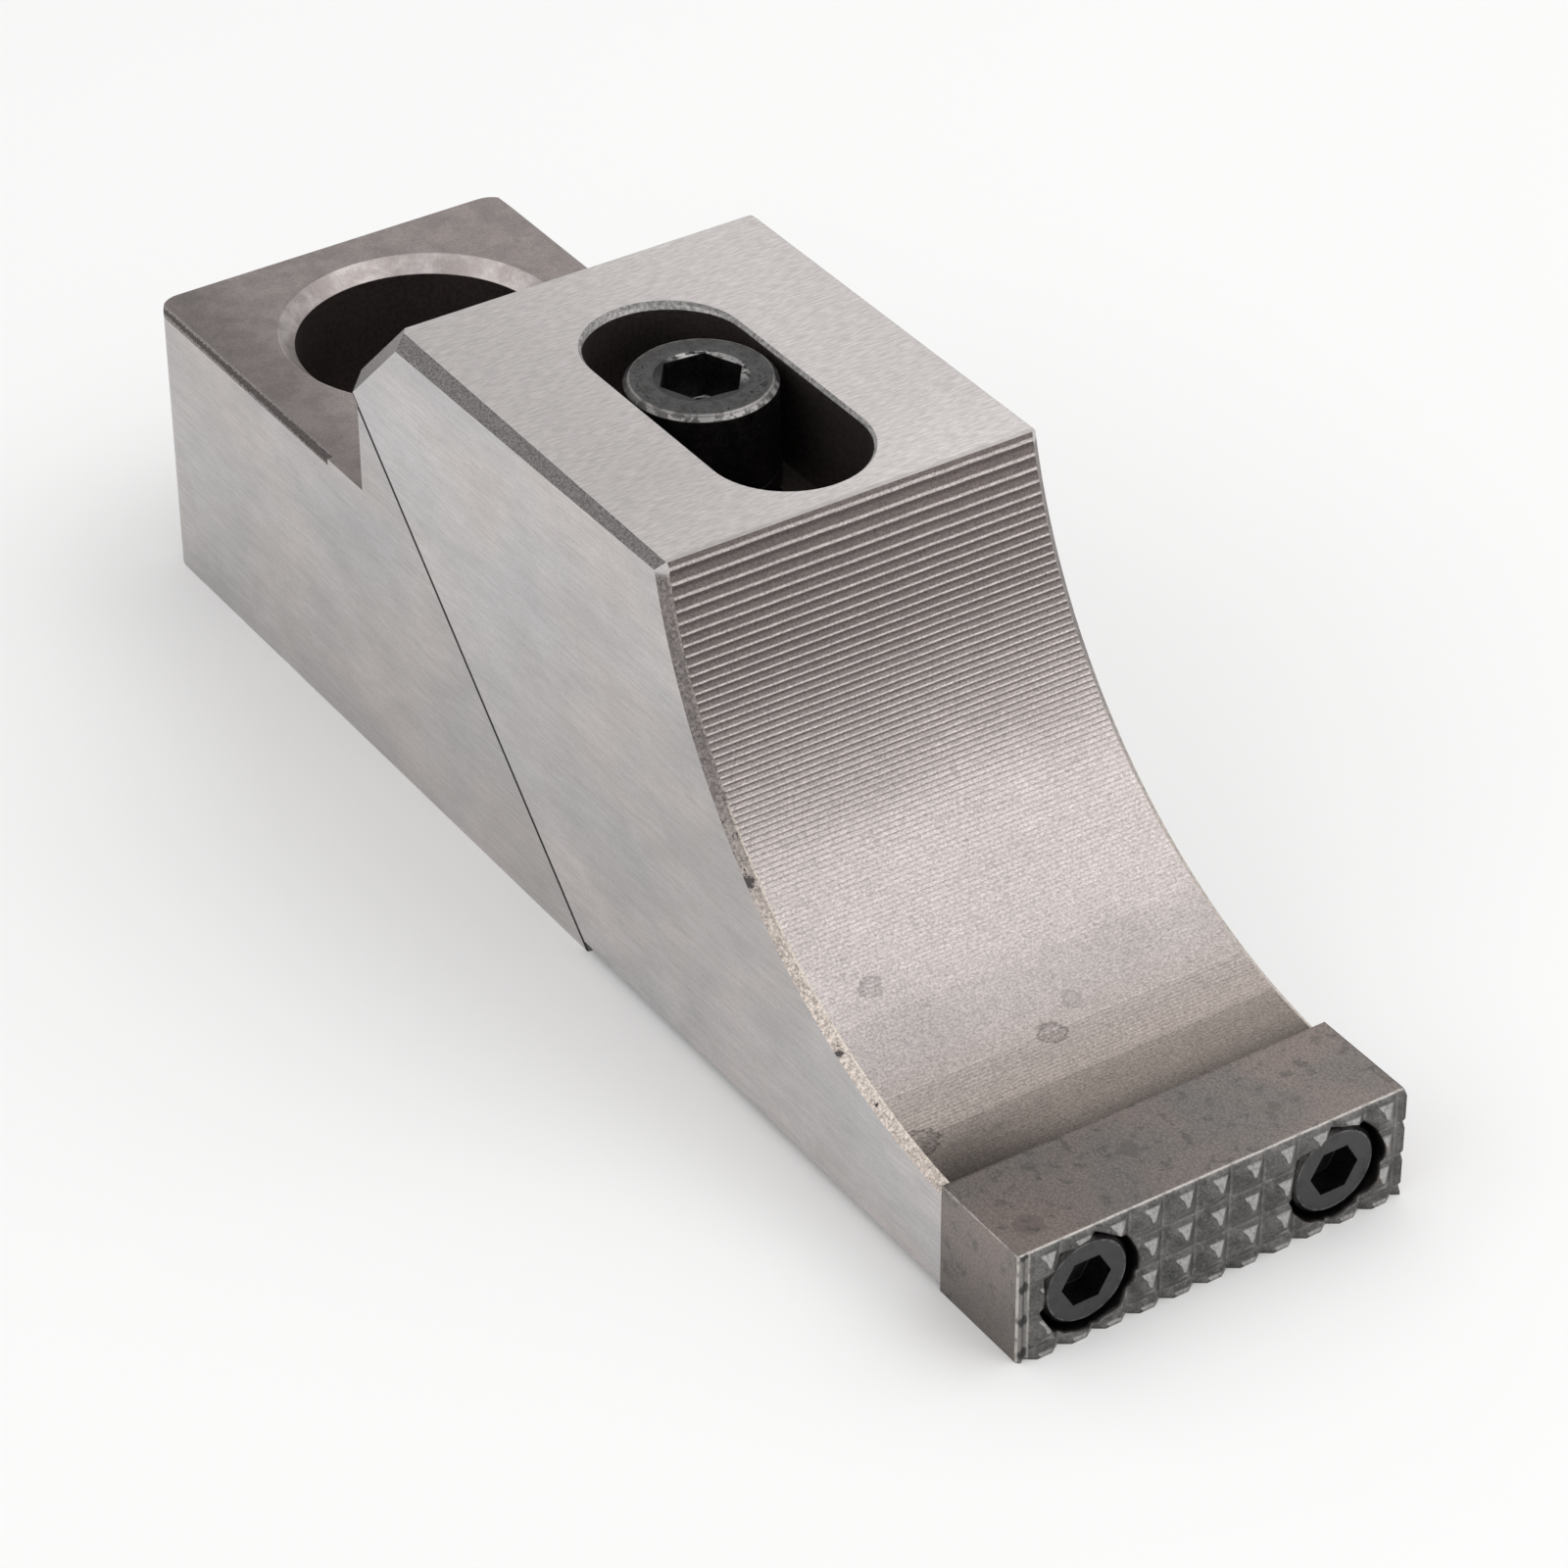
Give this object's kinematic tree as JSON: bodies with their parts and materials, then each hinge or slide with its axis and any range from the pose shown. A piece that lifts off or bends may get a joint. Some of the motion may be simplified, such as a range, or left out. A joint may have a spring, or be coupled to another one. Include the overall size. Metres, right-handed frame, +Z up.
{
  "type": "wedge side clamp",
  "caption": "Low wedge clamp: a jaw slides on an inclined base and is drawn down and forward by a socket screw, pressing a toothed insert against the side of a workpiece.",
  "frame": {"origin": "on the axis of the hold-down hole, at the flat underside that rests on the machine table", "axes": "+X forward towards the workpiece and the toothed insert, +Y across the clamp, +Z up from the table"},
  "size_m": [0.1692, 0.0457, 0.0565],
  "materials": {
    "base_steel": "ground sides, dark rolled top",
    "jaw_steel": "ground and brushed, milled front",
    "insert_steel": "hardened, brownish patina",
    "screw_steel": "black oxide"
  },
  "bodies": {
    "base": {"base_block": "base_steel"},
    "jaw": {"jaw_block": "jaw_steel", "gripper_insert": "insert_steel", "insert_screw_near": "screw_steel", "insert_screw_far": "screw_steel"},
    "washer": {"clamp_washer": "screw_steel"},
    "screw": {"clamp_screw": "screw_steel"}
  },
  "joints": [
    {"name": "jaw_slide", "type": "slide", "parent": "base", "child": "jaw", "axis": [-0.7071, 0, 0.7071], "range_m": [0, 0.00848]},
    {"name": "washer_slide", "type": "slide", "parent": "jaw", "child": "washer", "axis": [1, 0, 0], "range_m": [0, 0.006]},
    {"name": "screw_turn", "type": "hinge", "parent": "washer", "child": "screw", "pos_m": [0.058, 0, 0.0462], "axis": [0, 0, 1], "range_deg": [0, 1440]}
  ],
  "couplings": [
    {"joint": "washer_slide", "follows": "jaw_slide", "ratio": 0.70711},
    {"joint": "screw_turn", "follows": "jaw_slide", "rad_per_m": 2961.9}
  ]
}
